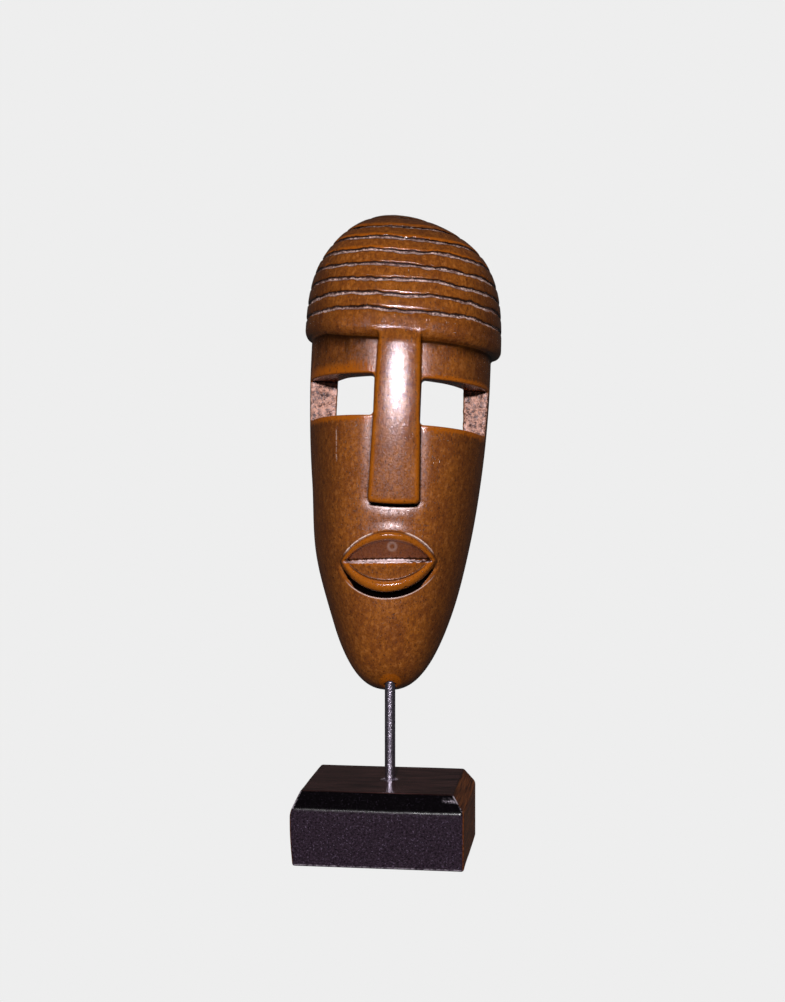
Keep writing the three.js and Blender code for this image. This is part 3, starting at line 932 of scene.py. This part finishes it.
def stained_wood():
    """Orange-brown stained wood under wax: painted shade in the corners, creases and under the lips and
    nose, painted glints, and pale where the chisel cut last.
    """
    wood = Shader("stained_wood", CHIN_PLACE, mask_turn())
    grain = wood.noise((1.6, 1.6, 30), detail=4, roughness=0.6, distortion=0.6)
    patches = wood.noise((11, 11, 17), detail=5, roughness=0.65)
    mottle = wood.noise((1.9, 1.9, 2.6), detail=6, roughness=0.75)
    pores = wood.noise((0.55, 0.55, 1.2), detail=2)
    specks = wood.noise((0.9, 0.9, 0.9), detail=4, roughness=0.8)
    lengths = wood.noise((5, 5, 5), detail=3)

    off_back = wood.spread(wood.along("Y"), BACK - 1.6, BACK - 0.2, 1, 0.3)
    raised = wood.every(wood.spread(wood.marked("raised"), 0.08, 0.4), off_back)
    on_ledge, upper_plane_shade, lip_rims, lip_shadow_lines = lip_marks(wood, specks)
    nose_edges, under_nose_shadow, nose_glint = nose_marks(wood, specks)
    nose_low = wood.every(wood.before(FRONTS["nose_low"], 2), wood.spread(wood.along("Z"), 112, 128, 1, 0),
                          wood.spread(wood.along("Z"), 82, 84))
    # Painted shade, near black, in the narrow inner corners
    crease_shade = wood.spread(wood.marked("crease_shade"), 0.2, 0.6, 0, 0.95)
    colour = wood.layers(
        WOOD["grain_dark"],
        (wood.spread(grain, 0.36, 0.64), WOOD["grain_light"]),
        (wood.spread(patches, 0.42, 0.66, 0, 0.7), WOOD["patch"]),
        (wood.spread(mottle, 0.46, 0.64, 0, 0.75), WOOD["mottle_dark"]),
        (wood.spread(mottle, 0.46, 0.36, 0, 0.55), WOOD["mottle_light"]),
        # Painted shade, partly age: darker to the sides, on the crown, towards the back and on the left
        # brow
        (wood.spread(wood.marked("age_and_shade"), 0.0, 1.0, 0, 0.66), WOOD["age_and_shade"]),
        (wood.every(raised, 0.65), WOOD["raised"]),
        (wood.every(wood.most(lip_rims, nose_edges), 0.55), WOOD["worn"]),
        # The upper lip's plane: painted shade
        (wood.every(upper_plane_shade, 0.7), WOOD["upper_lip_shade"]),
        # Sunk corners: painted shade, like ambient occlusion
        (wood.spread(wood.marked("sunk_shade"), 0.12, 0.8, 0, 0.75), WOOD["sunk_shade"]),
        (crease_shade, WOOD["crease_shade"]),
        (wood.spread(pores, 0.6, 0.68, 0, 0.8), WOOD["pore"]),
    )

    raw = wood.mix(wood.spread(specks, 0.42, 0.6), CUT_WOOD["groove_dark"], CUT_WOOD["groove_light"])
    raw = wood.mix(wood.spread(lengths, 0.42, 0.6, 0, 0.7), raw, CUT_WOOD["groove_patch"])
    to_right = wood.spread(wood.along("X", LIPS["middle"]), 7, 15, 0, 0.14)
    flecks = wood.noise((2.4, 1.2, 0.9), detail=3, roughness=0.7)
    # The ledge: bare wood, its palest parts a painted highlight where it faces up
    ledge = wood.mix(wood.spread(wood.less(flecks, to_right), 0.38, 0.44), CUT_WOOD["ledge_dark"],
                     CUT_WOOD["ledge_bare_and_lit"])
    to_left = wood.spread(wood.along("X", LIPS["middle"]), -20, -12, 0.75, 0)
    ledge = wood.mix(to_left, ledge, CUT_WOOD["ledge_left"])
    fibres = wood.noise((1.8, 1.8, 1.8), detail=6, roughness=0.85)
    cut = wood.mix(wood.spread(fibres, 0.43, 0.57), CUT_WOOD["chip_dark"], CUT_WOOD["chip_light"])
    # Pale ring mark and scratch, with painted glints round the lips and under the nose's tip
    pale = wood.most(small_marks(wood, specks), lip_glints(wood, specks), nose_glint)
    # Painted shadow: under the cap, over the ledge, in the lower rim's seam, under the lower lip and under
    # the nose's tip
    shadowed = wood.most(wood.marked("shadowed"), lip_shadow_lines, under_nose_shadow)
    inside = wood.mix(wood.spread(grain, 0.35, 0.65), WOOD["inside_dark"], WOOD["inside_light"])
    colour = wood.layers(
        colour,
        (wood.marked("groove"), raw),
        # The grooves' upper walls: painted shade
        (wood.spread(wood.marked("groove_wall_shade"), 0, 1, 0, 0.95), CUT_WOOD["groove_wall_shade"]),
        (wood.marked("rough"), cut),
        (pale, WOOD["scratch_and_glint"]),
        (on_ledge, ledge),
        (shadowed, WOOD["shadow"]),
        (wood.marked("inside"), inside),
    )

    bare = wood.most(wood.marked("groove"), wood.marked("rough"), wood.marked("inside"))
    polished = wood.most(wood.marked("polished"), raised, lip_rims)
    satin = wood.spread(polished, 0, 1, 0.5, 0.18)
    gloss = wood.spread(polished, 0, 1, 0.17, 0.1)
    polish = wood.every(wood.spread(specks, 0.4, 0.62), wood.less(satin, gloss))
    polish = wood.plus(polish, gloss)
    dull = wood.every(bare, 0.3)
    shine = wood.spread(wood.most(shadowed, crease_shade), 0, 1, 0.62, 0.0)
    shine = wood.every(shine, wood.spread(nose_edges, 0, 1, 1, 0.2), wood.spread(nose_low, 0, 1, 1, 0.7))
    normal = wood.bump(wood.spread(mottle, 0.3, 0.7), 0.04, 1.0)
    normal = wood.bump(wood.spread(specks, 0.4, 0.6), 0.01, 1.0, normal)
    normal = wood.bump(wood.spread(pores, 0.6, 0.7, 1, 0), 0.05, 0.8, normal)
    return wood.finish(Base_Color=colour, Roughness=wood.plus(polish, dull), Normal=normal,
                       Specular_IOR_Level=shine, Specular_Tint=srgb(WOOD["gloss"]))


def steel_rod():
    """Bright drawn steel with lengthwise marks and small dark pits."""
    steel = Shader("steel_rod")
    marks = steel.noise((0.3, 0.3, 7), detail=4, roughness=0.7)
    pits = steel.noise((0.9, 0.9, 1.5), detail=5, roughness=0.8)
    colour = steel.mix(steel.spread(marks, 0.35, 0.65), STEEL["dark"], STEEL["light"])
    colour = steel.mix(steel.spread(pits, 0.5, 0.6, 0, 0.75), colour, STEEL["pit"])
    normal = steel.bump(marks, 0.03, 0.5)
    normal = steel.bump(steel.spread(pits, 0.4, 0.65), 0.08, 0.6, normal)
    return steel.finish(Base_Color=colour, Roughness=steel.spread(pits, 0.35, 0.65, 0.2, 0.34),
                        Normal=normal, Metallic=1.0)


def black_paint():
    """Black paint over wood: scuffed on the front, whose purplish grey is partly painted sheen, glossy and
    in painted shade on the chamfers, thin and brown elsewhere.
    """
    paint = Shader("black_painted_wood")
    outwards = paint.node("TexCoord", output="Normal")
    facing = paint.node("SeparateXYZ", Vector=outwards, output="Z")
    sideways = paint.node("SeparateXYZ", Vector=outwards, output="X")
    grain = paint.noise((26, 0.9, 0.9), detail=4, roughness=0.65)
    across = paint.noise((0.9, 22, 0.9), detail=4, roughness=0.65)
    brushing = paint.noise((1.1, 1.1, 0.8), detail=5, roughness=0.8)
    specks = paint.noise((0.9, 0.9, 0.9), detail=4, roughness=0.8)
    wear = paint.noise((2.6, 2.6, 2.6), detail=4, roughness=0.7)
    # The walls' purplish grey: dark paint with painted sheen
    walls = paint.mix(paint.spread(brushing, 0.38, 0.64), PAINT["wall_dark"], PAINT["wall_light"])
    top = paint.mix(paint.spread(grain, 0.38, 0.62), PAINT["top_dark"], PAINT["top_light"])
    ends = paint.mix(paint.spread(across, 0.35, 0.65), PAINT["end_dark"], PAINT["end_light"])
    on_ends = paint.spread(paint.math("ABSOLUTE", sideways), 0.5, 0.9)
    on_walls = paint.spread(facing, 0.15, 0.4, 0.6, 0.1)
    raised = paint.spread(paint.marked("raised"), 0.2, 0.5)
    edge = paint.every(raised, paint.spread(wear, 0.42, 0.6))
    chipped = paint.every(paint.marked("chipped"), paint.spread(specks, 0.46, 0.6))
    colour = paint.layers(
        walls,
        # Chamfers near black: painted shade, for the dark room they reflect
        (paint.spread(facing, 0.15, 0.4), PAINT["chamfer"]),
        (paint.spread(facing, 0.8, 0.95), top),
        (on_ends, ends),
        (paint.every(paint.spread(specks, 0.58, 0.68), on_walls), PAINT["speck"]),
        (paint.spread(edge, 0, 1, 0, 0.75), PAINT["edge"]),
        (chipped, PAINT["chipped"]),
    )
    normal = paint.bump(grain, 0.12, 0.6)
    normal = paint.bump(specks, 0.03, 0.6, normal)
    return paint.finish(Base_Color=colour, Roughness=paint.spread(wear, 0.3, 0.7, 0.14, 0.26),
                        Normal=normal, Specular_IOR_Level=paint.spread(on_ends, 0, 1, 0.25, 0.04))


def pale_ground():
    """Even pale grey that takes only a faint shadow."""
    material = bpy.data.materials.new("pale_ground")
    material.use_nodes = True
    surface = material.node_tree.nodes["Principled BSDF"]
    surface.inputs["Base Color"].default_value = (0, 0, 0, 1)
    surface.inputs["Specular IOR Level"].default_value = 0
    surface.inputs["Emission Color"].default_value = (PALE, PALE, PALE, 1)
    surface.inputs["Emission Strength"].default_value = 1
    return material


# ---- Pieces -------------------------------------------------------------------------------------

def store_carving(piece):
    """Marks the hollow, the grooves and the painted shade on their walls, the eyes' rough floors, the
    painted shadow under the cap, polish, and painted shade that is partly age.
    """
    places = vertex_places(piece)
    x, y, height = places.T
    level = cap_height(x, height)
    on_cap = smooth_step(level, *CAP_POLISH)
    inside = band(hollow_form(x, y, height), **IN_HOLLOW)
    store(piece, "inside", inside)
    offset = groove_offset(x, y, level)
    in_groove = on_cap * (1 - inside) * smooth_step(BACK - y, *GROOVE_ENDS["back"])
    below_crown = smooth_step(CAP["crown"] - level, *GROOVE_ENDS["crown"])
    store(piece, "groove", in_groove * band(offset, **GROOVE_FLOOR))
    # The grooves' upper walls: painted shade
    store(piece, "groove_wall_shade", in_groove * below_crown * band(offset, **GROOVE_WALL_SHADE))
    outlines = [eye_outline(eye, x, height) for eye in (LEFT_EYE, RIGHT_EYE)]
    in_eyes = smooth_step(-np.minimum(*outlines), *WITHIN_EYE)
    store(piece, "rough", (1 - inside) * band(y, **ON_EYE_FLOOR) * in_eyes)
    on_face = band(face_form(x, y, height) + nose_dip(x, height), **ON_FACE)
    store(piece, "shadowed", UNDER_CAP_SHADE * on_face * band(level, **UNDER_CAP))
    outline, _ = nose_outline(x, height)
    on_nose = (outline < POLISHED_NOSE["outline"]) * (y < POLISHED_NOSE["front"])
    on_nose = on_nose * smooth_step(height, POLISHED_NOSE["low"], POLISHED_NOSE["high"])
    store(piece, "polished", np.maximum(on_cap, on_nose))
    sideways, _, upwards = np.abs(normals(mask_field, places)).T
    # Painted shade, partly age: darker where the surface turns sideways, up on the cap's crown, towards the
    # back and on the left brow
    on_crown = AGE_AND_SHADE["crown_share"] * on_cap * smooth_step(upwards, *AGE_AND_SHADE["crown"])
    age_and_shade = np.maximum(smooth_step(sideways, *AGE_AND_SHADE["sides"]), on_crown)
    left_brow_shade = LEFT_BROW_SHADE["share"] * on_face * smooth_step(-x, *LEFT_BROW_SHADE["across"])
    left_brow_shade = left_brow_shade * smooth_step(height, *LEFT_BROW_SHADE["height"])
    store(piece, "age_and_shade", np.maximum(age_and_shade, np.maximum(left_brow_shade, smooth_step(y, *AGE_AND_SHADE["back"]))))


def mask_piece():
    """The mask, meshed upright in its own frame and then leaned back over the post."""
    piece = mesh_field("carved_mask", mask_field, MASK_LOW, MASK_HIGH, MASK_CELL, MASK_TRIANGLES)
    store_carving(piece)
    store_edges(piece, mask_field, **MASK_EDGES)
    store_creases(piece, mask_field, CREASE_REACH)
    piece.data.materials.append(stained_wood())
    piece.data.transform(Matrix.LocRotScale(CHIN_PLACE, mask_turn(), None))
    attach(piece, "mask")
    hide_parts("mask")
    return piece


def turned_rod(name, profile, sides):
    """Mesh turned round the z axis from (radius, height) points in metres, closed at both ends."""
    vertices = []
    for radius, height in profile:
        for i in range(sides):
            turn = 2 * math.pi * i / sides
            vertices.append((radius * math.cos(turn), radius * math.sin(turn), height))
    faces = [tuple(reversed(range(sides)))]
    for ring in range(len(profile) - 1):
        for i in range(sides):
            j = (i + 1) % sides
            low, high = ring * sides, (ring + 1) * sides
            faces.append((low + i, low + j, high + j, high + i))
    faces.append(tuple(range(len(vertices) - sides, len(vertices))))
    mesh = bpy.data.meshes.new(name)
    mesh.from_pydata(vertices, [], faces)
    piece = put_in_scene(name, mesh)
    for polygon in mesh.polygons:
        polygon.use_smooth = len(polygon.vertices) == 4
    return piece


def post_piece():
    """The rod, with a small chamfer at both ends."""
    low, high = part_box("post")
    radius = POST_RADIUS * MM
    chamfer = POST_END["chamfer"] * MM
    ends = [(radius - chamfer, 0), (radius - POST_END["inner"] * chamfer, POST_END["outer"] * chamfer)]
    length = high.z - low.z - 2 * chamfer
    profile = [(across, low.z + up) for across, up in ends]
    profile += [(radius, low.z + chamfer + length * i / POST_STEPS) for i in range(POST_STEPS + 1)]
    profile += [(across, high.z - up) for across, up in reversed(ends)]
    piece = turned_rod("steel_post", profile, POST_SIDES)
    piece.location = (POST_X * MM, 0, 0)
    piece.data.materials.append(steel_rod())
    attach(piece, "post")
    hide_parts("post")
    return piece


def block_piece():
    """The painted block, with paint chipped off round the post and in one scuff."""
    low = [part / MM - BLOCK_MARGIN for part in BLOCK_BOX[0]]
    high = [part / MM + BLOCK_MARGIN for part in BLOCK_BOX[1]]
    piece = mesh_field("painted_block", block_field, low, high, BLOCK_CELL, BLOCK_TRIANGLES)
    store_edges(piece, block_field, **BLOCK_EDGES)
    x, y, z = vertex_places(piece).T
    to_post = POST_RADIUS + FOOT_RING["width"] - np.hypot(x - POST_X, y)
    ring = smooth_step(to_post, -FOOT_RING["blur"], 0) * (z > SCUFF["z"])
    scuff_size = np.hypot((x - SCUFF["x"]) / SCUFF["half_length"], (z - SCUFF["z"]) / SCUFF["half_width"])
    scuff = smooth_step(-scuff_size, -SCUFF["outer"], -SCUFF["inner"]) * (y < SCUFF["front"])
    store(piece, "chipped", np.maximum(ring, scuff))
    piece.data.materials.append(black_paint())
    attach(piece, "base")
    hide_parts("base_block")
    return piece


# ---- Stage --------------------------------------------------------------------------------------

def direction(azimuth, elevation):
    """Unit vector towards a place in the studio: azimuth 0 is in front, 90 to the viewer's right."""
    turn, rise = math.radians(azimuth), math.radians(elevation)
    return Vector((math.sin(turn) * math.cos(rise), -math.cos(turn) * math.cos(rise), math.sin(rise)))


def lamp(name, kind, towards, distance):
    """A light that looks at the middle of the object. Only the key shows in glossy wood."""
    light = bpy.data.lights.new(name, kind)
    holder = put_in_scene(name, light)
    holder.location = towards * distance + Vector((0, 0, CAD_BOX[1].z / 2))
    holder.rotation_euler = towards.to_track_quat("Z", "Y").to_euler()
    holder.visible_glossy = kind == "SUN"
    return light


def add_lights():
    key = lamp("key", "SUN", direction(KEY["azimuth"], KEY["elevation"]), FILL_DISTANCE)
    key.energy = KEY["strength"]
    key.angle = math.radians(KEY["angle"])
    for fill in FILLS:
        light = lamp(fill["name"], "AREA", direction(fill["azimuth"], fill["elevation"]), FILL_DISTANCE)
        light.energy = fill["power"]
        light.size = FILL_SIZE
    world = bpy.data.worlds.new("room")
    world.use_nodes = True
    world.node_tree.nodes["Background"].inputs["Color"].default_value = (1, 1, 1, 1)
    world.node_tree.nodes["Background"].inputs["Strength"].default_value = ROOM_GLOW
    bpy.context.scene.world = world


def add_ground():
    """Pale floor that rises into a pale dome. They light nothing and throw no shadow on the object."""
    radius, rings = STUDIO["radius"], STUDIO["rings"]
    turns = [math.pi / 2 * i / rings for i in range(1, rings + 1)]
    floor = [(radius * math.sin(turn), radius * (1 - math.cos(turn))) for turn in turns]
    dome = [(radius * math.cos(turn), radius * (1 + math.sin(turn))) for turn in turns[:-1]]
    profile = [(radius * STUDIO["middle"], 0.0), *floor, *dome]
    ground = turned_rod("pale_studio", profile, STUDIO["sides"])
    ground.data.materials.append(pale_ground())
    for ray in ("visible_diffuse", "visible_glossy", "visible_transmission", "visible_shadow"):
        setattr(ground, ray, False)


def add_camera():
    camera = bpy.data.cameras.new("camera")
    holder = put_in_scene("camera", camera)
    turn = math.radians(CAMERA["azimuth"])
    away = CAMERA["distance"]
    holder.location = (math.sin(turn) * away, -math.cos(turn) * away, CAMERA["height"])
    holder.rotation_euler = (math.radians(90 - CAMERA["pitch"]), 0, turn)
    camera.lens = CAMERA["lens"]
    camera.shift_x = CAMERA["shift"]
    camera.clip_start = CAMERA["clip_start"]
    bpy.context.scene.camera = holder


BLOCK_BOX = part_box("base_block")
POST_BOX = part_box("post")
POST_X = (POST_BOX[0].x + POST_BOX[1].x) / 2 / MM
POST_RADIUS = (POST_BOX[1].x - POST_BOX[0].x) / 2 / MM
POST_BOTTOM = POST_BOX[0].z / MM
CHIN_PLACE = Vector(next(joint["pos_m"] for joint in frame["joints"] if joint["name"] == "mask_swivel"))

bpy.context.scene.view_settings.view_transform = "Standard"
add_camera()
add_lights()
add_ground()
block_piece()
post_piece()
mask_piece()
